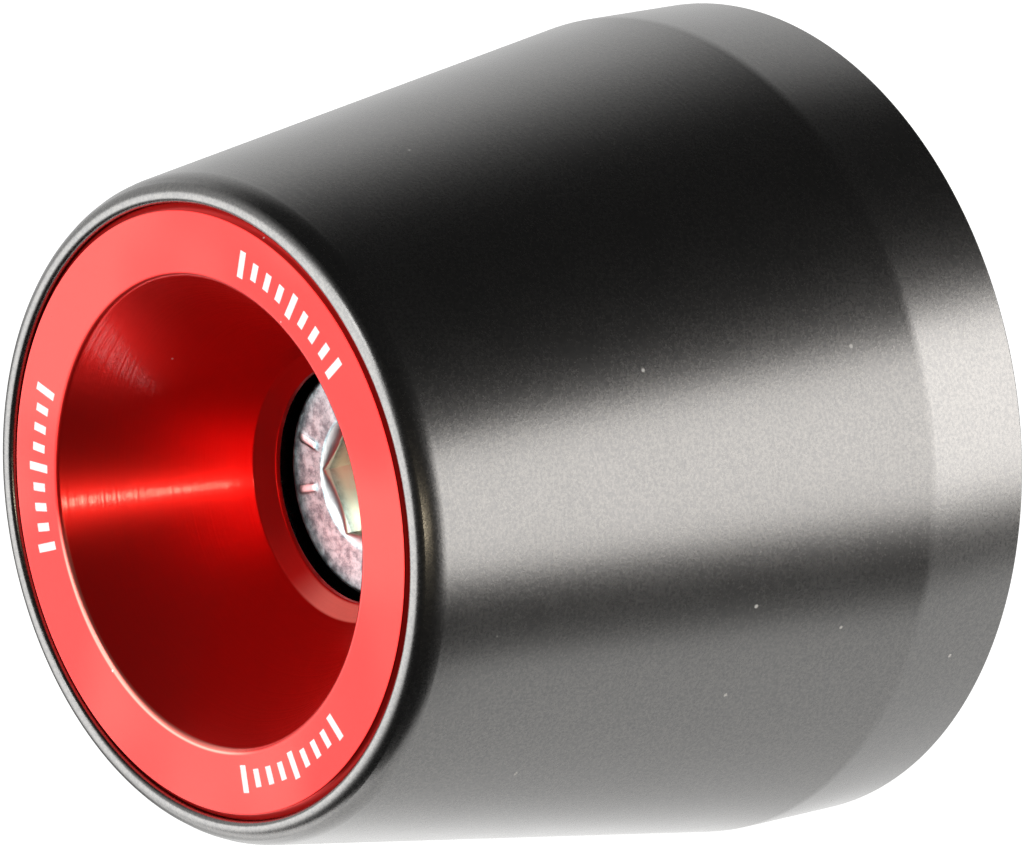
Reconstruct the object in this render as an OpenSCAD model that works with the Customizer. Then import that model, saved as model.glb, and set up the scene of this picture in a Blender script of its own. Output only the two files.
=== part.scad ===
// Bar end weight: a turned aluminium cone that caps the end of a handlebar.
// The bar's axis is Y. The origin is on that axis, in the face that seats on the bar's end.
// The small, open end points to -Y, the bar lies on the +Y side, and +Z is up.

/* [Weight body] */
// Length from the bar seat to the front rim
body_len = 30.2; // [26:0.1:40]
// Diameter of the rear band, the largest of the body
band_d = 35.5; // [32:0.1:42]
// Length of the straight rear band behind the cone
band_len = 5.3; // [3:0.1:10]
// Wall between the insert and the cone, where both would meet the front rim's plane
rim_wall = 1; // [1:0.01:2]
// Radius of the front rim's outer edge
rim_round = 1; // [0.2:0.05:1]
// Bevel of the front rim's inner edge
rim_bevel = 0.14; // [0.05:0.01:0.14]
// Bevel of the rear band's edge at the bar seat
seat_bevel = 0.2; // [0.1:0.05:1]

/* [Bar spigot] */
// Diameter of the spigot that centres the body in the bar
spigot_d = 13.8; // [12:0.1:18]
// Length of that spigot
spigot_len = 3; // [2:0.5:6]
// Bevel of the spigot's end
spigot_bevel = 0.4; // [0.2:0.1:0.8]

/* [Trim insert] */
// Outside diameter of the insert, and of the pocket that it is pressed into
trim_d = 26; // [24:0.1:28]
// Thickness of the insert
trim_len = 8.3; // [8.1:0.1:10]
// Depth of the insert's face below the front rim
trim_recess = 0.1; // [0:0.05:0.5]
// Bevel of the insert's edges
trim_bevel = 0.3; // [0.2:0.05:0.6]
// Diameter of the funnel at the insert's face
mouth_d = 20; // [18:0.1:22]
// Diameter at the funnel's lower end
neck_d = 11.6; // [10.8:0.1:13]
// Depth of the funnel
funnel_len = 7.3; // [6.5:0.1:7.4]
// Depth of the steeper cone between the funnel and the hole
lead_len = 0.7; // [0.3:0.1:0.7]
// Diameter of the hole that the screw's head passes
hole_d = 10.2; // [10.1:0.05:10.6]
// Radius of the turned inner edge of the insert's face
mouth_round = 0.25; // [0.05:0.05:0.3]

/* [Clamp screw] */
// Nominal diameter of the screw
screw_d = 6; // [5:0.5:6]
// Length of the screw under its head
screw_len = 25; // [22:1:27]
// Length of the plain shank between the head and the thread
plain_len = 3; // [1:0.5:6]
// Diameter of the screw's head
head_d = 10; // [9:0.1:10]
// Height of the screw's head
head_h = 6; // [5:0.5:7]
// Radius of the head's top edge
head_round = 0.2; // [0.1:0.05:0.6]
// Distance from the insert's rear face to the top of the head
head_drop = 0.45; // [0.2:0.05:2]
// Width across the flats of the head's hexagonal socket
key_af = 5; // [4:0.5:5]
// Depth of that socket
key_depth = 3; // [2:0.5:4]
// Diameter of the bevelled mouth of that socket
key_mouth_d = 5.98; // [5.9:0.02:6.4]
// Half angle of the bevel at the mouth, and of the cone under the socket
drill_angle = 60; // [45:5:70]
// Bevel of the screw's end
tip_bevel = 0.6; // [0.3:0.1:0.9]
// Amount by which the cut thread is smaller across than the plain shank
thread_undersize = 0.06; // [0.02:0.02:0.1]

/* [Clearances] */
// Diametral clearance of the body's bore round the screw's shank
shank_gap = 0.6; // [0.2:0.1:1]
// Diametral clearance of the body's counterbore round the screw's head
head_gap = 1; // [0.4:0.1:1.6]

/* [Hidden] */
$fn = 128;
over = 1;

// Heights run along the axis from the bar seat at 0 to the front rim at body_len
front_d = trim_d + 2 * rim_wall;
cone_angle = atan((band_d - front_d) / 2 / (body_len - band_len));
face_at = body_len - trim_recess;
pocket_at = face_at - trim_len;
head_top_at = pocket_at - head_drop;
head_seat_at = head_top_at - head_h;
screw_end_at = head_seat_at - screw_len;

// Radius of the cone's surface at a height
function cone_r(at) = band_d / 2 - (at - band_len) * tan(cone_angle);

// Turns a half section of radius and height about the bar's axis, with the front to -Y
module turned() {
    rotate([90, 0, 0])
        rotate_extrude()
            children();
}

// The body's outer half section: spigot, seat, band, cone and rounded rim
module body_outline() {
    round_at = body_len - rim_round;
    round_r = cone_r(round_at) - rim_round / cos(cone_angle);
    polygon([
        [0, -spigot_len],
        [spigot_d / 2 - spigot_bevel, -spigot_len],
        [spigot_d / 2, -spigot_len + spigot_bevel],
        [spigot_d / 2, 0],
        [band_d / 2 - seat_bevel, 0],
        [band_d / 2, seat_bevel],
        [band_d / 2, band_len],
        [round_r + rim_round * cos(cone_angle), round_at + rim_round * sin(cone_angle)],
        [round_r, round_at],
        [round_r, body_len],
        [0, body_len]
    ]);
    translate([round_r, round_at])
        circle(r = rim_round);
}

// What is bored out of the body: screw bore, head counterbore and insert pocket
module body_bores() {
    shank_bore_r = (screw_d + shank_gap) / 2;
    head_bore_r = (head_d + head_gap) / 2;
    translate([0, -spigot_len - over])
        square([shank_bore_r, body_len + spigot_len + over]);
    translate([0, head_seat_at])
        square([head_bore_r, body_len - head_seat_at]);
    polygon([
        [0, pocket_at],
        [trim_d / 2, pocket_at],
        [trim_d / 2, body_len - rim_bevel],
        [trim_d / 2 + rim_bevel + over, body_len + over],
        [0, body_len + over]
    ]);
}

module weight_body() {
    color([0.09, 0.09, 0.09])
        turned()
            difference() {
                body_outline();
                body_bores();
            }
}

// The insert's half section, with the funnel, its lead and the hole for the head
module trim_section() {
    funnel_angle = atan((mouth_d - neck_d) / 2 / funnel_len);
    edge_in = mouth_round * tan(45 - funnel_angle / 2);
    edge_r = mouth_d / 2 + edge_in;
    edge_at = face_at - mouth_round;
    polygon([
        [hole_d / 2, pocket_at],
        [trim_d / 2 - trim_bevel, pocket_at],
        [trim_d / 2, pocket_at + trim_bevel],
        [trim_d / 2, face_at - trim_bevel],
        [trim_d / 2 - trim_bevel, face_at],
        [edge_r, face_at],
        [edge_r, edge_at],
        [edge_r - mouth_round * cos(funnel_angle), edge_at + mouth_round * sin(funnel_angle)],
        [neck_d / 2, face_at - funnel_len],
        [hole_d / 2, face_at - funnel_len - lead_len]
    ]);
    translate([edge_r, edge_at])
        circle(r = mouth_round);
}

module trim_insert() {
    color([0.8, 0.12, 0.1])
        turned()
            trim_section();
}

// The screw's half section: rounded head, short plain shank, thread as a cylinder, and bevelled tip
module screw_section() {
    thread_r = (screw_d - thread_undersize) / 2;
    round_r = head_d / 2 - head_round;
    round_at = head_top_at - head_round;
    plain_end_at = head_seat_at - plain_len;
    polygon([
        [0, screw_end_at],
        [thread_r - tip_bevel, screw_end_at],
        [thread_r, screw_end_at + tip_bevel],
        [thread_r, plain_end_at],
        [screw_d / 2, plain_end_at],
        [screw_d / 2, head_seat_at],
        [head_d / 2, head_seat_at],
        [head_d / 2, round_at],
        [round_r, round_at],
        [round_r, head_top_at],
        [0, head_top_at]
    ]);
    translate([round_r, round_at])
        circle(r = head_round);
}

// The hexagonal socket with its bevelled mouth and the cone that its drill leaves
module key_socket() {
    corner_r = key_af / 2 / cos(30);
    mouth_len = key_mouth_d / 2 / tan(drill_angle);
    cone_len = key_af / 2 / tan(drill_angle);
    translate([0, -head_top_at, 0])
        rotate([-90, 0, 0]) {
            rotate([0, 0, 30])
                cylinder(r = corner_r, h = key_depth, $fn = 6);
            cylinder(r1 = key_mouth_d / 2, r2 = 0, h = mouth_len);
            translate([0, 0, key_depth])
                cylinder(r1 = key_af / 2, r2 = 0, h = cone_len);
        }
}

module clamp_screw() {
    color([0.72, 0.72, 0.74])
        difference() {
            turned()
                screw_section();
            key_socket();
        }
}

weight_body();
trim_insert();
clamp_screw();
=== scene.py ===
import math

import bpy
import numpy as np
from mathutils import Matrix, Vector


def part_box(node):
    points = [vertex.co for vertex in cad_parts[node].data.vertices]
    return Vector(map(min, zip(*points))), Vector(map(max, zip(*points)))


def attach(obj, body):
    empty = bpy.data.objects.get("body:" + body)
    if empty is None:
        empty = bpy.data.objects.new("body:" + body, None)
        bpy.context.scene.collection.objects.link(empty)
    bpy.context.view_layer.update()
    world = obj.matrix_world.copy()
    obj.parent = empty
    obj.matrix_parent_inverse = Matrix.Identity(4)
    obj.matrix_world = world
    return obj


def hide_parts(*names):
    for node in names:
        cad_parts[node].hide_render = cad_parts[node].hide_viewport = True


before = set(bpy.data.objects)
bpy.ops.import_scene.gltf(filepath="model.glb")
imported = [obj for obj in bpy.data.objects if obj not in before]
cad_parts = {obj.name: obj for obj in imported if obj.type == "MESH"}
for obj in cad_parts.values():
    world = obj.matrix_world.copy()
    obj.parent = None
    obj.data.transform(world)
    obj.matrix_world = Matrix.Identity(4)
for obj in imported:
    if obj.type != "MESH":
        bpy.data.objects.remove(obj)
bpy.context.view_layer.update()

# Weight body
# The real body is one aluminium bar turned to a cone with a straight rear band, then bead blasted
# and black anodised. The bar's end seats on its large end, and the insert's pocket opens at its small end.

MM = 0.001
body_low, body_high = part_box("weight_body")
trim_low, trim_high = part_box("trim_insert")
screw_low, screw_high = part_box("clamp_screw")

band_r = body_high.x
band_len = 5.3 * MM
crease_round = 2.5 * MM
seat_bevel = 0.2 * MM
front_r = trim_high.x + 1 * MM
rim_shoulder_len = 0.66 * MM
rim_shoulder_out = 0.1 * MM
rim_shoulder_round = 2.0 * MM
rim_shoulder_in = 0.36 * MM
rim_round = 0.65 * MM
rim_inner_round = 0.27 * MM
spigot_r = 6.9 * MM
spigot_bevel = 0.4 * MM
shank_bore_r = 3.3 * MM
head_bore_r = 5.5 * MM
head_seat_y = screw_low.y + 6 * MM
fine_edge = 0.06 * MM
spigot_foot_round = 0.1 * MM
flat_keep = 0.04 * MM


def rounded(corners, steps=9):
    """The closed line through corners of (radius, place along, rounding). Each corner becomes the arc
    that touches both of its sides, at rounding / tan(half the corner's angle) from the corner. A point
    just beyond each end of the arc keeps the straight sides flat when they are shaded smooth."""
    at = np.array([corner[:2] for corner in corners])
    rounding = np.array([corner[2] for corner in corners])
    ahead = np.roll(at, -1, axis=0) - at
    side = np.linalg.norm(ahead, axis=1)
    ahead = ahead / side[:, None]
    back = -np.roll(ahead, 1, axis=0)
    angle = np.arccos(np.clip((back * ahead).sum(axis=1), -1, 1))
    reach = rounding / np.tan(angle / 2)
    keep = np.minimum(flat_keep, (side - reach - np.roll(reach, -1)) * 0.4)
    line = []
    for i, here in enumerate(at):
        if rounding[i] == 0:
            line.append(here[None])
            continue
        inward = (back[i] + ahead[i]) / np.linalg.norm(back[i] + ahead[i])
        centre = here + inward * rounding[i] / math.sin(angle[i] / 2)
        first, last = here + back[i] * reach[i] - centre, here + ahead[i] * reach[i] - centre
        sweep = math.pi - angle[i]
        t = np.linspace(0, 1, max(3, int(steps * sweep / (math.pi / 2)) + 2))[:, None]
        arc = centre + (np.sin((1 - t) * sweep) * first + np.sin(t * sweep) * last) / math.sin(sweep)
        before = here + back[i] * (reach[i] + keep[i - 1])
        after = here + ahead[i] * (reach[i] + keep[i])
        line.append(np.vstack([before, arc, after]))
    return np.vstack(line)


def skin(name, grid, loop, sharp=30):
    """A closed mesh over a grid of points, rows by columns by xyz. The columns close round the axis, and
    loop closes the rows too. Otherwise the first and last rows are poles: each becomes one vertex and a
    fan. The faces are turned outwards by the sign of the volume that they enclose."""
    rows, columns = grid.shape[:2]
    at = np.arange(columns)
    beside = (at + 1) % columns
    if loop:
        points = grid.reshape(-1, 3)
        row = np.arange(rows)[:, None] * columns
        next_row = (np.arange(rows)[:, None] + 1) % rows * columns
        fans = np.zeros((0, 3), int)
    else:
        inner = grid[1:-1]
        points = np.vstack([inner.reshape(-1, 3), grid[0, :1], grid[-1, :1]])
        row = np.arange(rows - 3)[:, None] * columns
        next_row = row + columns
        first, last, end = len(points) - 2, len(points) - 1, (rows - 3) * columns
        fans = np.vstack([
            np.stack([beside, at, np.full(columns, first)], 1),
            np.stack([end + at, end + beside, np.full(columns, last)], 1),
        ])
    quads = np.stack([row + at, row + beside, next_row + beside, next_row + at], -1).reshape(-1, 4)
    triangles = np.vstack([quads[:, :3], quads[:, [0, 2, 3]], fans])
    a, b, c = (points[triangles[:, k]] for k in range(3))
    if np.einsum("ij,ij->i", a, np.cross(b, c)).sum() < 0:
        quads, fans = quads[:, ::-1], fans[:, ::-1]
    mesh = bpy.data.meshes.new(name)
    mesh.from_pydata(points.tolist(), [], quads.tolist() + fans.tolist())
    mesh.polygons.foreach_set("use_smooth", np.ones(len(mesh.polygons), bool))
    mesh.set_sharp_from_angle(angle=math.radians(sharp))
    piece = bpy.data.objects.new(name, mesh)
    bpy.context.scene.collection.objects.link(piece)
    return piece


def lathe(name, line, columns):
    """A turned piece: each point (radius, place along) goes round the bar's axis as
    (radius cos turn, place along, radius sin turn)."""
    turn = np.linspace(0, 2 * np.pi, columns, endpoint=False)
    r, y = line[:, :1], line[:, 1:]
    grid = np.stack([r * np.cos(turn), y + 0 * turn, r * np.sin(turn)], -1)
    return skin(name, grid, loop=True)


body_line = rounded([
    (shank_bore_r, body_high.y, fine_edge),
    (spigot_r - spigot_bevel, body_high.y, fine_edge),
    (spigot_r, body_high.y - spigot_bevel, fine_edge),
    (spigot_r, 0, spigot_foot_round),
    (band_r - seat_bevel, 0, fine_edge),
    (band_r, -seat_bevel, fine_edge),
    (band_r, -band_len, crease_round),
    (front_r + rim_shoulder_out, body_low.y + rim_shoulder_len, rim_shoulder_round),
    (front_r - rim_shoulder_in, body_low.y, rim_round),
    (trim_high.x, body_low.y, rim_inner_round),
    (trim_high.x, trim_high.y, 0),
    (head_bore_r, trim_high.y, fine_edge),
    (head_bore_r, head_seat_y, 0),
    (shank_bore_r, head_seat_y, fine_edge),
])
body = lathe("weight_body_turned", body_line, 360)


class Shade:
    """One value in a material's node tree. Python's operators on it add Math nodes."""

    def __init__(self, tree, socket=None):
        self.tree = tree
        self.socket = socket

    def node(self, kind, settings, inputs, output=0):
        """Adds a node of that type. Its settings are set first, then its sockets are given their values
        or links, by name or number."""
        made = self.tree.nodes.new(kind)
        for key, value in settings.items():
            setattr(made, key, value)
        for key, value in inputs.items():
            if isinstance(value, Shade):
                self.tree.links.new(value.socket, made.inputs[key])
            else:
                made.inputs[key].default_value = value
        return Shade(self.tree, made.outputs[output] if len(made.outputs) else None)

    def math(self, operation, *values):
        return self.node("ShaderNodeMath", {"operation": operation}, dict(enumerate(values)))

    def __add__(self, other):
        return self.math("ADD", self, other)

    def __radd__(self, other):
        return self.math("ADD", other, self)

    def __sub__(self, other):
        return self.math("SUBTRACT", self, other)

    def __rsub__(self, other):
        return self.math("SUBTRACT", other, self)

    def __mul__(self, other):
        return self.math("MULTIPLY", self, other)

    def __rmul__(self, other):
        return self.math("MULTIPLY", other, self)

    def parts(self):
        """The x, y and z of a vector, or the red, green and blue of a colour."""
        split = self.node("ShaderNodeSeparateXYZ", {}, {0: self}).socket.node
        return [Shade(self.tree, part) for part in split.outputs]

    def smooth(self, low, high):
        """0 below low, 1 above high, and smooth between them. low may be the greater."""
        return self.node(
            "ShaderNodeMapRange",
            {"interpolation_type": "SMOOTHSTEP"},
            {"Value": self, "From Min": low, "From Max": high, "To Min": 0.0, "To Max": 1.0},
        )

    def mix(self, low, high):
        """The colour low where this is 0 and high where it is 1."""
        return self.node(
            "ShaderNodeMix", {"data_type": "RGBA"}, {0: self, 6: low, 7: high}, output=2
        )


def finish(name, base, rough, metal, **fixed):
    """A new material with one Principled shader, the shader's node, and a Shade to build on."""
    material = bpy.data.materials.new(name)
    material.use_nodes = True
    shader = material.node_tree.nodes["Principled BSDF"]
    shader.inputs["Base Color"].default_value = (*base, 1)
    shader.inputs["Roughness"].default_value = rough
    shader.inputs["Metallic"].default_value = metal
    for key, value in fixed.items():
        shader.inputs[key.replace("_", " ").title().replace("Ior", "IOR")].default_value = value
    return material, shader, Shade(material.node_tree)


def place(shade):
    """Where a point lies, in millimetres: the vector, its radius from the bar's axis, its place along
    the axis, and its angle round the axis in degrees from +X towards +Z."""
    here = shade.node("ShaderNodeTexCoord", {}, {}, output=3)
    here = shade.node("ShaderNodeVectorMath", {"operation": "SCALE"}, {0: here, "Scale": 1 / MM})
    x, y, z = here.parts()
    radius = shade.math("SQRT", x * x + z * z)
    angle = shade.math("ARCTAN2", z, x) * (180 / math.pi)
    return here, radius, y, angle


def grain(shade, at, per_mm, detail=2.0, rough=0.5):
    """Smooth noise from 0 to 1, with so many lumps in a millimetre."""
    return shade.node(
        "ShaderNodeTexNoise", {}, {"Vector": at, "Scale": per_mm, "Detail": detail, "Roughness": rough}
    )


def rings(shade, along, per_mm, detail=2.0):
    """Noise from 0 to 1 that changes only with one distance, as the marks of a turning tool do."""
    return shade.node(
        "ShaderNodeTexNoise", {"noise_dimensions": "1D"}, {"W": along, "Scale": per_mm, "Detail": detail}
    )


def specks(shade, at, per_mm, share, size, stretch):
    """Sparse flecks of dust: 1 in the middle of a share of Voronoi cells, with size as the radius of a
    fleck in parts of a cell, on a grid that is stretched by three factors where the flecks are long."""
    spread = shade.node("ShaderNodeVectorMath", {"operation": "MULTIPLY"}, {0: at, 1: stretch})
    cell = shade.node("ShaderNodeTexVoronoi", {}, {"Vector": spread, "Scale": per_mm})
    colour = Shade(shade.tree, cell.socket.node.outputs["Color"])
    chosen = shade.math("GREATER_THAN", colour.parts()[0], 1 - share)
    return cell.smooth(size, size * 0.5) * chosen


def bumpy(shade, shader, height, depth):
    """Feeds a height from 0 to 1, depth metres high, to the shader's normal."""
    bump = shade.node("ShaderNodeBump", {}, {"Strength": 1.0, "Distance": depth, "Height": height})
    shade.tree.links.new(bump.socket, shader.inputs["Normal"])


def link(value, shader, name):
    """Feeds a value to one of the shader's sockets."""
    value.tree.links.new(value.socket, shader.inputs[name])


def black_anodised():
    """Dark dyed oxide on blasted aluminium: a satin dark metal with a fine grain and a little dust."""
    black, pale_black, deep_black = (0.155, 0.152, 0.148), (0.176, 0.172, 0.166), (0.132, 0.131, 0.130)
    dust_grey = (0.55, 0.54, 0.52)
    satin = 0.27
    material, shader, shade = finish("black_anodised", black, satin, 1.0)
    at, _, along, _ = place(shade)
    fine = grain(shade, at, 7.0, detail=3.0, rough=0.7)
    turned = rings(shade, along, 4.0, detail=4.0)
    patch = grain(shade, at, 0.35, detail=3.0)
    dust = specks(shade, at, 0.55, 0.22, 0.06, (1.0, 1.0, 1.0))
    hair = specks(shade, at, 0.35, 0.14, 0.045, (1.0, 1.6, 0.45))
    fleck = shade.math("MAXIMUM", dust, hair)
    mottled = fine.smooth(0.3, 0.7).mix((*deep_black, 1), (*pale_black, 1))
    link(fleck.mix(mottled, (*dust_grey, 1)), shader, "Base Color")
    link(satin + (fine - 0.5) * 0.07 + (patch - 0.5) * 0.04 + fleck * 0.4, shader, "Roughness")
    link(1 - fleck, shader, "Metallic")
    bumpy(shade, shader, fine + turned * 0.6, 0.003 * MM)
    return material


body.data.materials.append(black_anodised())
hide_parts("weight_body")
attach(body, "root")

# Trim insert
# The real insert is a turned aluminium disc with a polished funnel, red anodised and pressed into
# the body's pocket. Three plain groups of white dashes are etched on its flat face.

trim_r = trim_high.x
trim_bevel = 0.3 * MM
mouth_r = 10.0 * MM
neck_r = 5.8 * MM
hole_r = 5.1 * MM
funnel_len = 7.3 * MM
lead_len = 0.7 * MM
press_gap = 0.01 * MM
mouth_round = 0.3 * MM
neck_round = 0.12 * MM
lead_round = 0.08 * MM
outer_round = 0.1 * MM
face_y = trim_low.y

trim_line = rounded([
    (trim_r - trim_bevel, trim_high.y - press_gap, fine_edge),
    (trim_r - press_gap, trim_high.y - trim_bevel, fine_edge),
    (trim_r - press_gap, face_y + trim_bevel, fine_edge),
    (trim_r - trim_bevel, face_y, outer_round),
    (mouth_r, face_y, mouth_round),
    (neck_r, face_y + funnel_len, neck_round),
    (hole_r, face_y + funnel_len + lead_len, lead_round),
    (hole_r, trim_high.y - press_gap, outer_round),
])
trim = lathe("trim_insert_turned", trim_line, 360)


def near_angle(shade, angle, middle):
    """How many degrees an angle lies from the middle one, on either side."""
    return shade.math("ABSOLUTE", shade.math("WRAP", angle - middle, 180.0, -180.0))


def dashes(shade, radius, angle):
    """Three groups of nine dashes round the axis, 1 on a dash. The middle and the outer dashes of a
    group are longer. Lengths are in millimetres and angles in degrees."""
    first_group, half_way, apart, blur = 60.0, 60.0, 4.4, 0.1
    row_r, half_long, half_wide, long_more, soft = 11.2, 0.38, 0.17, 0.2, 0.02
    from_group = shade.math("WRAP", angle - first_group, half_way, -half_way)
    from_dash = shade.math("WRAP", from_group, apart / 2, -apart / 2)
    sideways = shade.math("ABSOLUTE", from_dash) * radius * math.radians(1)
    from_middle = shade.math("ABSOLUTE", from_group)
    middle_dash = from_middle.smooth(apart * 0.5 + blur, apart * 0.5 - blur)
    outer_dash = from_middle.smooth(apart * 3.5 - blur, apart * 3.5 + blur)
    in_group = from_middle.smooth(apart * 4.5 + blur, apart * 4.5 - blur)
    reach = half_long + shade.math("MAXIMUM", middle_dash, outer_dash) * long_more
    across = (shade.math("ABSOLUTE", radius - row_r) - reach).smooth(soft, -soft)
    return sideways.smooth(half_wide + soft, half_wide - soft) * across * in_group


def red_anodised():
    """Red dyed oxide on turned aluminium: a tinted metal under a clear skin, with fine tool rings. The
    flat face is blasted, so it is paler and duller, and carries the white dashes. The funnel's edge on its
    lower left side is painted pale red, and so is the bottom of the short steep cone at its end, which is
    also made less metallic there: both are painted highlights."""
    red, pale_red, deep_red = (0.76, 0.014, 0.011), (0.56, 0.024, 0.019), (0.55, 0.009, 0.007)
    # The two paler reds are painted highlights: one on the funnel's lower left edge, one at the bottom of
    # the steep cone at its end.
    mouth_edge_highlight_red, lead_highlight_red, white = (0.75, 0.17, 0.135), (0.98, 0.25, 0.20), (0.8, 0.8, 0.8)
    mouth_edge_highlight_middle, lead_highlight_middle = -121.0, -92.0
    satin, skin_weight, face_skin_weight, tint = 0.31, 0.32, 0.2, 0.8
    material, shader, shade = finish(
        "red_anodised", red, satin, tint,
        specular_ior_level=0.2, coat_weight=skin_weight, coat_roughness=0.12, coat_ior=1.5,
    )
    at, radius, along, angle = place(shade)
    mouth, hole, face, neck = mouth_r / MM, hole_r / MM, face_y / MM, (face_y + funnel_len) / MM
    turned = radius - along
    marks = rings(shade, turned, 9.0) + rings(shade, turned, 30.0) * 0.5
    beads = (rings(shade, turned, 7.0) + (grain(shade, at, 7.0) - 0.5) * 0.6).smooth(0.15, 0.85) * 2
    fine = grain(shade, at, 12.0)
    dust = specks(shade, at, 0.8, 0.14, 0.06, (1.0, 1.0, 1.0))
    on_face = along.smooth(face + 0.06, face + 0.03)
    mark = dashes(shade, radius, angle) * on_face
    dusty = shade.math("MAXIMUM", mark, dust * 0.6)
    dye = grain(shade, at, 0.12, detail=1.0)
    on_flat = dye.smooth(0.35, 0.65).mix((*pale_red, 1), (*deep_red, 1))

    # Painted highlight: the funnel's mouth edge is pale red on its lower left side, round the given angle.
    edge = radius.smooth(mouth + 0.22, mouth + 0.12) * along.smooth(face + 0.2, face + 0.12)
    edge = edge * near_angle(shade, angle, mouth_edge_highlight_middle).smooth(52.0, 34.0)
    # Painted highlight: the bottom of the short steep cone at the funnel's end is pale red and less
    # metallic.
    lead_highlight = along.smooth(neck - 0.04, neck + 0.06) * radius.smooth(hole + 0.02, hole + 0.1)
    lead_highlight = lead_highlight * near_angle(shade, angle, lead_highlight_middle).smooth(36.0, 10.0)
    colour = edge.mix(on_face.mix((*red, 1), on_flat), (*mouth_edge_highlight_red, 1))
    colour = lead_highlight.mix(colour, (*lead_highlight_red, 1))
    link(dusty.mix(colour, (*white, 1)), shader, "Base Color")
    # The steep cone's painted highlight also makes it less metallic there.
    link((1 - dusty) * (tint + on_face * (1 - tint)) * (1 - lead_highlight * 0.35), shader, "Metallic")
    link(beads * skin_weight * (1 - on_face) + on_face * face_skin_weight, shader, "Coat Weight")
    link(satin - on_face * 0.01 + (fine - 0.5) * 0.1 + mark * 0.2, shader, "Roughness")
    bumpy(shade, shader, marks * (1 - on_face * 0.7) + fine * 0.3, 0.0028 * MM)
    return material


trim.data.materials.append(red_anodised())
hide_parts("trim_insert")
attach(trim, "root")

# Clamp screw
# The real screw is an M6 steel cap screw, zinc plated, with a knurled head and a 5 mm hexagon socket.
# Its head lies below the insert's hole, and its thread stands out of the spigot, into the bar's plug.

head_r = screw_high.x
head_round = 0.2 * MM
head_top_y = screw_low.y
key_r = 2.5 * MM
key_depth = 3 * MM
key_mouth_r = 2.99 * MM
drill_slope = math.tan(math.radians(60))
knurls = 64
knurl_depth = 0.11 * MM
knurl_fade = 0.25 * MM
plain_above_knurls = 0.5 * MM
plain_below_knurls = 0.35 * MM
foot_bevel = 0.2 * MM
face_inner_r = 3.1 * MM
tick_height = 0.06 * MM
tick_angles = math.radians(164), math.radians(194)
tick_middle_r = 3.98 * MM
tick_half_wide = 0.17 * MM
tick_half_long = 0.55 * MM


def head_grid(columns):
    """The head from the bottom of its socket, over its face and down its side to the seat.
    The socket's wall is the hexagon key_r / cos(angle from the nearest flat), cut by the bevel cone of
    its mouth, so the bevel's edge rises and falls from flat to corner. The side is a wave of knurls, and
    the face has two low ticks."""
    turn = np.linspace(0, 2 * np.pi, columns, endpoint=False)
    hexagon = key_r / np.cos((turn % (np.pi / 3)) - np.pi / 6)
    bevel = (key_mouth_r - hexagon) / drill_slope
    wave = np.abs((turn * knurls / (2 * np.pi)) % 1 * 2 - 1)
    soft = 0.04 * MM
    rows = []

    def row(radius, depth):
        rows.append(np.stack([
            radius * np.cos(turn), head_top_y + depth + 0 * turn, radius * np.sin(turn)
        ], -1))

    row(0 * turn, key_depth + key_r / drill_slope)
    for share in np.linspace(0.15, 1, 8):
        row(key_r * share + 0 * turn, key_depth + key_r * (1 - share) / drill_slope)
    row(hexagon - soft, key_depth + 0 * turn)
    row(hexagon, key_depth - soft + 0 * turn)
    for share in np.linspace(0.1, 0.95, 6):
        row(hexagon, key_depth + (bevel - key_depth) * share)
    row(hexagon, bevel + soft)
    row(hexagon + soft * 0.5, bevel)
    row(hexagon + (key_mouth_r - hexagon) * 0.5, bevel * 0.5)
    row(key_mouth_r - soft * 0.5 + 0 * turn, soft * 0.4 + 0 * turn)
    row(key_mouth_r + soft + 0 * turn, 0 * turn)
    for radius in np.linspace(face_inner_r, head_r - head_round - soft, 26):
        ticks = 0 * turn
        for tick_angle in tick_angles:
            wide = 1 / (1 + ((turn - tick_angle) * radius / tick_half_wide) ** 8)
            long = 1 / (1 + ((radius - tick_middle_r) / tick_half_long) ** 8)
            ticks = ticks + wide * long
        row(radius + 0 * turn, -tick_height * ticks)
    for share in np.linspace(0, 1, 7):
        sweep = share * np.pi / 2
        row(head_r - head_round * (1 - math.sin(sweep)) + 0 * turn,
            head_round * (1 - math.cos(sweep)) + 0 * turn)
    side = head_seat_y - head_top_y
    row(head_r + 0 * turn, plain_above_knurls + 0 * turn)
    for depth in (plain_above_knurls + knurl_fade, side * 0.5, side - plain_below_knurls - knurl_fade):
        row(head_r - knurl_depth * wave, depth + 0 * turn)
    row(head_r + 0 * turn, side - plain_below_knurls + 0 * turn)
    row(head_r - foot_bevel + 0 * turn, side + 0 * turn)
    row(0 * turn, side + 0 * turn)
    return np.stack(rows)


head = skin("screw_head_knurled", head_grid(knurls * 6), loop=False, sharp=35)

shank_r = 2.97 * MM
plain_r = 3.0 * MM
plain_len = 3.0 * MM
thread_root_r = 2.39 * MM
pitch = 1 * MM
root_flat = 1 / 4
crest_flat = 1 / 8
tip_bevel = 0.6 * MM
tip_slope = 0.9


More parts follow.
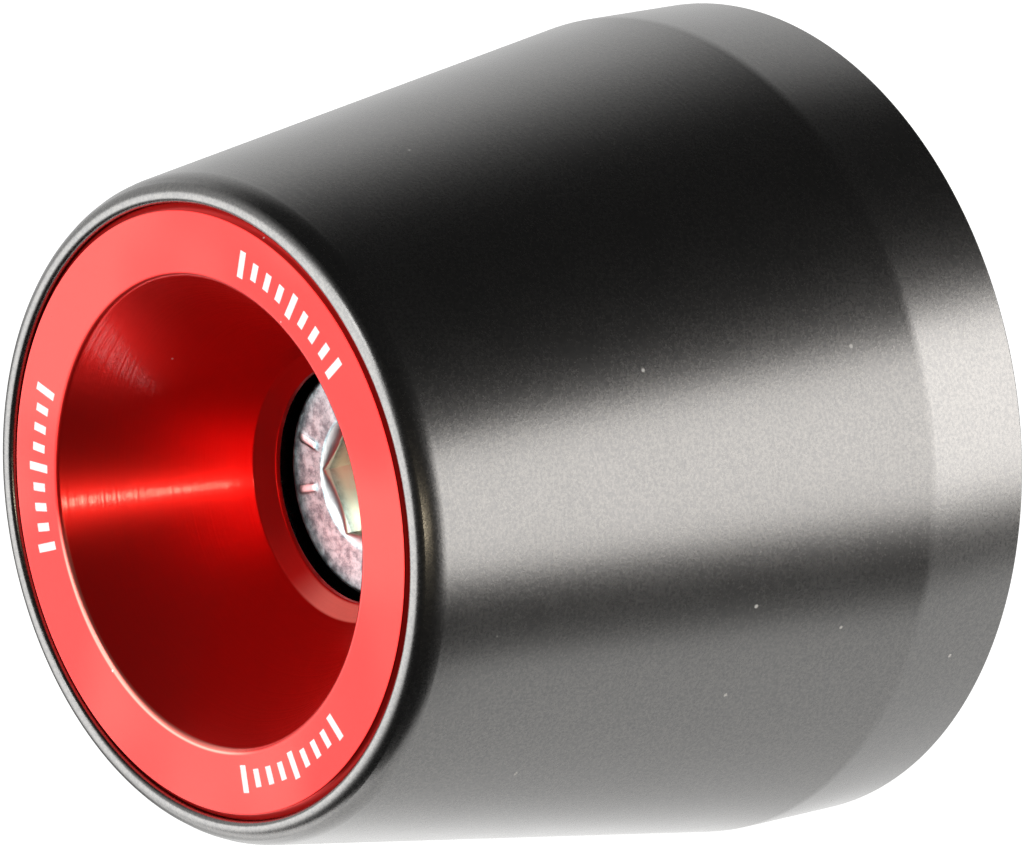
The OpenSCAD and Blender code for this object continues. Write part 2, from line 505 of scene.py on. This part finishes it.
def thread_grid(columns, rows_a_turn):
    """The shank: radius = root + (crest - root) * triangle wave of the phase
    place along / pitch - turn / full turn, with flats that are those shares of a pitch at root and
    crest, cut down by the bevel at the tip. Under the head it is plain, and the thread runs out of the
    plain part within one pitch."""
    turn = np.linspace(0, 2 * np.pi, columns, endpoint=False)
    start, end = head_seat_y + 0.01 * MM, screw_high.y
    along = np.linspace(start, end, int((end - start) / pitch * rows_a_turn))[:, None]
    phase = (along / pitch - turn / (2 * np.pi)) % 1
    wave = 1 - np.abs(2 * phase - 1)
    cut = np.clip((wave - root_flat) / (1 - root_flat - crest_flat), 0, 1)
    radius = thread_root_r + (shank_r - thread_root_r) * cut
    radius = np.minimum(radius, shank_r - tip_bevel + (end - along) * tip_slope)
    thread = np.clip((along - start - plain_len) / pitch, 0, 1)
    radius = plain_r * (1 - thread) + radius * thread
    grid = np.stack([radius * np.cos(turn), along + 0 * turn, radius * np.sin(turn)], -1)
    first = np.broadcast_to([0, start, 0], (1, columns, 3))
    last = np.broadcast_to([0, end, 0], (1, columns, 3))
    return np.vstack([first, grid, last])


shank = skin("screw_thread_rolled", thread_grid(96, 12), loop=False, sharp=45)


def zinc_plated():
    """Bright zinc on steel: a pale metal, mottled where the plating is uneven, and a little yellow down in
    the socket. The socket's bevel is painted a brighter, paler metal: a painted highlight. The ticks are
    painted the same paler metal, a little less."""
    pale, dull, yellow, highlight_and_tick_pale = (0.44, 0.57, 0.59), (0.15, 0.21, 0.23), (0.90, 0.92, 0.80), (0.8, 0.82, 0.82)
    material, shader, shade = finish("zinc_plated", pale, 0.3, 1.0)
    at, radius, along, _ = place(shade)
    lumps = grain(shade, at, 2.4, detail=5.0, rough=0.7)
    fine = grain(shade, at, 9.0)
    depth = along - head_top_y / MM
    deep = depth.smooth(0.2, 1.0) * depth.smooth(5.2, 4.8) * radius.smooth(3.2, 3.0)
    # Painted highlight: the socket's bevel is painted a paler, brighter metal.
    bevel = depth.smooth(0.0, 0.04) * depth.smooth(0.4, 0.3) * radius.smooth(3.2, 3.0)
    # The ticks, standing above the face, are painted the same paler metal at 0.8.
    bevel_highlight_and_ticks = shade.math("MAXIMUM", bevel, depth.smooth(-0.03, -0.05) * 0.8)
    colour = deep.mix(lumps.smooth(0.35, 0.65).mix((*dull, 1), (*pale, 1)), (*yellow, 1))
    link(bevel_highlight_and_ticks.mix(colour, (*highlight_and_tick_pale, 1)), shader, "Base Color")
    link(0.22 + lumps * 0.22 + (fine - 0.5) * 0.08, shader, "Roughness")
    bumpy(shade, shader, lumps + fine * 0.3, 0.012 * MM)
    return material


plating = zinc_plated()
for piece in (head, shank):
    piece.data.materials.append(plating)
    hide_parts("clamp_screw")
    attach(piece, "root")

# Camera
# A long lens looks at the open small end from the right and a little above, as in the photograph.

view_turn = math.radians(48.98)
view_lift = math.radians(12.85)
face_left = 12.71 * MM
face_below = 3.71 * MM
face_away = 415.5 * MM
lens_px = 10000
photo_wide_px = 1024
sensor_mm = 36

right = Vector((math.cos(view_turn), math.sin(view_turn), 0))
ahead = Vector((
    -math.sin(view_turn) * math.cos(view_lift),
    math.cos(view_turn) * math.cos(view_lift),
    -math.sin(view_lift),
))
up = right.cross(ahead)
camera_data = bpy.data.cameras.new("camera")
camera_data.sensor_fit = "HORIZONTAL"
camera_data.sensor_width = sensor_mm
camera_data.lens = sensor_mm * lens_px / photo_wide_px
camera_data.clip_start = 0.01
camera = bpy.data.objects.new("camera", camera_data)
bpy.context.scene.collection.objects.link(camera)
stand = Vector((0, face_y, 0)) + right * face_left + up * face_below - ahead * face_away
camera.matrix_world = Matrix.Translation(stand) @ Matrix((right, up, -ahead)).transposed().to_4x4()
bpy.context.scene.camera = camera

# Studio
# A sheet of white paper, cut aslant at its front right corner, a soft box at the right and behind, a
# white wall round the left, brightest at the front, and two small lamps: a warm one at the right, and
# one in front. All above and the rest is dark.

paper_z = -band_r - 0.02 * MM
paper_right = 36 * MM
paper_front = -33.1 * MM
paper_slant = 0.14
cut_start = 7 * MM
cut_slant = 0.55
cut_y = paper_front + paper_slant * cut_start
cut_end_y = cut_y + cut_slant * (paper_right - cut_start)
paper_far = 220 * MM
paper_mesh = bpy.data.meshes.new("white_paper")
paper_mesh.from_pydata(
    [
        (-paper_far, paper_front - paper_slant * paper_far, paper_z),
        (cut_start, cut_y, paper_z),
        (paper_right, cut_end_y, paper_z),
        (paper_right, paper_far, paper_z),
        (-paper_far, paper_far, paper_z),
    ],
    [],
    [(0, 1, 2, 3, 4)],
)
paper = bpy.data.objects.new("white_paper", paper_mesh)
bpy.context.scene.collection.objects.link(paper)

paper_stuff = bpy.data.materials.new("white_paper")
paper_stuff.use_nodes = True
paper_stuff.node_tree.nodes.clear()
shade = Shade(paper_stuff.node_tree)
seen = shade.node("ShaderNodeLightPath", {}, {})
glossy = Shade(shade.tree, seen.socket.node.outputs["Is Glossy Ray"])
across, along, _ = place(shade)[0].parts()
# How bright the paper looks, by place in millimetres: plain white to the camera, and in reflections
# dim at its left, brightest along its front edge, and fading out towards its right edge.
camera_white, left_dim, front_glow, left_more, right_slant = 0.95, 0.08, 1.75, 0.4, 0.14
lit_front = (along - across * paper_slant).smooth(-28.6, -31.0) * front_glow
beside = shade.math("MAXIMUM", across.smooth(-14.0, 1.0), lit_front)
beside = beside * (across.smooth(9.0, 2.0) * left_more + 1.0)
beside = beside * (across - along * right_slant).smooth(33.0, 27.5)
shown = seen * camera_white + glossy * (left_dim + beside)
white = shade.node("ShaderNodeBsdfDiffuse", {}, {"Color": (0.5, 0.5, 0.49, 1)})
glow = shade.node("ShaderNodeEmission", {}, {"Color": (1, 1, 1, 1), "Strength": shown})
both = shade.node("ShaderNodeAddShader", {}, {0: white, 1: glow})
shade.node("ShaderNodeOutputMaterial", {}, {0: both})
paper_mesh.materials.append(paper_stuff)


def soft_light(name, turn, lift, far, wide, high, radiance, colour=(1, 1, 1)):
    """A rectangular light at that turn from +X towards +Y and lift above the level, facing the object.
    Its power grows with its area, so that radiance alone says how bright it looks."""
    data = bpy.data.lights.new(name, "AREA")
    data.shape = "RECTANGLE"
    data.size = wide
    data.size_y = high
    data.color = colour
    data.energy = radiance * math.pi * wide * high
    light = bpy.data.objects.new(name, data)
    bpy.context.scene.collection.objects.link(light)
    turn, lift = math.radians(turn), math.radians(lift)
    toward = Vector((
        math.cos(turn) * math.cos(lift), math.sin(turn) * math.cos(lift), math.sin(lift)
    ))
    middle = Vector((0, -15 * MM, 0))
    facing = toward.to_track_quat("Z", "Y").to_matrix().to_4x4()
    light.matrix_world = Matrix.Translation(middle + toward * far) @ facing
    light.visible_camera = False


off_white = (1, 0.975, 0.955)
soft_light("soft_box", 38, 3, far=0.6, wide=0.62, high=0.435, radiance=4.2, colour=off_white)
soft_light("soft_box_middle", 52, 6, far=0.58, wide=0.25, high=0.38, radiance=1.9, colour=off_white)
soft_light("warm_lamp", -26, 0, far=0.7, wide=0.1, high=0.035, radiance=40, colour=(1, 0.86, 0.62))
soft_light("front_lamp", -93, 25, far=0.7, wide=0.14, high=0.14, radiance=7)

world = bpy.data.worlds.new("studio")
bpy.context.scene.world = world
world.use_nodes = True
world.node_tree.nodes.clear()
shade = Shade(world.node_tree)
seen = shade.node("ShaderNodeLightPath", {}, {})
toward = shade.node("ShaderNodeTexCoord", {}, {})
x, y, z = toward.parts()
turn = shade.math("ARCTAN2", y, x) * (180 / math.pi)
lift = shade.math("ARCSINE", z) * (180 / math.pi)
# How bright the room looks in reflections, by turn and lift in degrees. Each pair of angles is where
# the wall, or its brighter front, fades from nothing to full. The front's top edge slopes.
wall_middle, front_middle, dim, front_more = -167.0, -125.0, 0.035, 3.4
level_turn, top_slope = -139.0, 0.55
from_wall = shade.math("WRAP", turn - wall_middle, 180.0, -180.0)
from_front = near_angle(shade, turn, front_middle)
wall = from_wall.smooth(76.0, 69.0) * from_wall.smooth(-92.0, -70.0)
wall = wall * lift.smooth(62.0, 28.0) * lift.smooth(-50.0, -22.0)
above = lift - (turn - level_turn) * top_slope
front = from_front.smooth(50.0, 25.0) * above.smooth(15.0, 4.0) * lift.smooth(-36.0, -17.0)
room = dim + wall * (1.0 + front * front_more)
strength = shade.math("MAXIMUM", seen, room)
sky = shade.node("ShaderNodeBackground", {}, {"Color": (1, 1, 1, 1), "Strength": strength})
shade.node("ShaderNodeOutputWorld", {}, {0: sky})

bpy.context.scene.view_settings.view_transform = "Standard"
